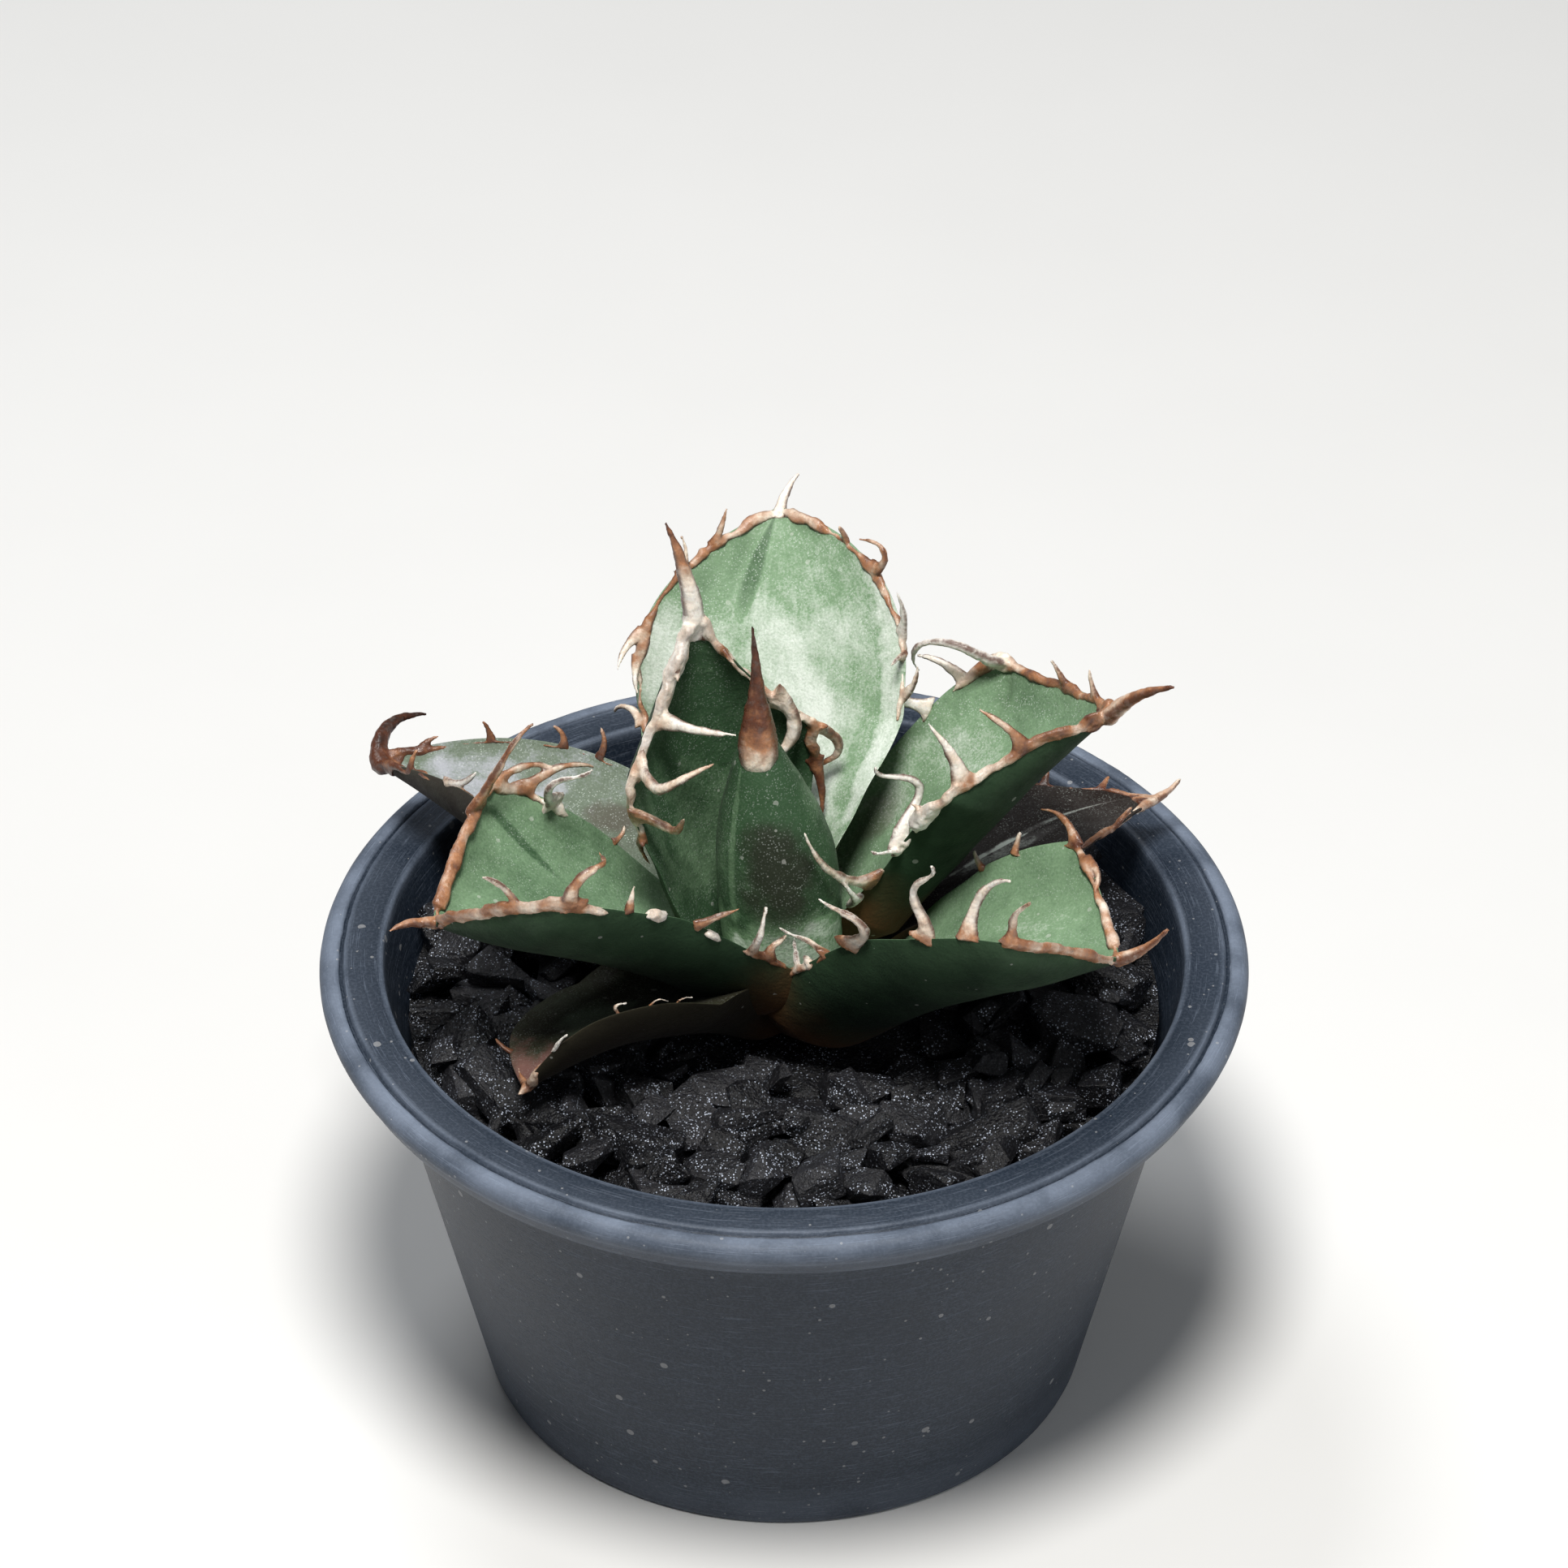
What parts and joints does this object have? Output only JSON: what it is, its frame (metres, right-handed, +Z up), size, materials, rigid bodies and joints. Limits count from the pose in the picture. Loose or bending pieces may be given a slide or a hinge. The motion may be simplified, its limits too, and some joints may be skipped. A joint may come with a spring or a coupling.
{
  "type": "potted succulent",
  "caption": "Small agave rosette with broad cupped leaves, horny curled marginal teeth and spiny tips, planted in a round plastic pot topped with angular gravel.",
  "frame": {"origin": "middle of the pot's foot, on the surface it stands on", "axes": "+Z up along the pot's axis, +Y towards the back of the plant as pictured, +X to its right"},
  "size_m": [0.15, 0.15, 0.1564],
  "materials": {
    "pot": "satin moulded plastic, slate blue-grey",
    "soil": "matt, dark potting mix",
    "gravel": "matt, dark charcoal",
    "crown": "matt, amber-brown",
    "blade": "waxy grey-green with a whitish bloom",
    "horn": "smooth horn, cream to brown"
  },
  "bodies": {
    "root": {"pot": "pot", "soil": "soil", "gravel": "gravel", "crown": "crown", "bud_leaf": "blade", "bud_spine": "horn", "inner_left_leaf": "blade", "inner_left_leaf_horn": "horn", "right_leaf": "blade", "right_leaf_horn": "horn", "front_left_leaf": "blade", "front_left_leaf_horn": "horn", "rear_leaf": "blade", "rear_leaf_horn": "horn", "front_right_leaf": "blade", "front_right_leaf_horn": "horn", "outer_left_leaf": "blade", "outer_left_leaf_horn": "horn", "outer_right_leaf": "blade", "outer_right_leaf_horn": "horn", "low_front_leaf": "blade", "low_front_leaf_horn": "horn", "low_rear_leaf": "blade", "low_rear_leaf_horn": "horn"}
  },
  "joints": []
}
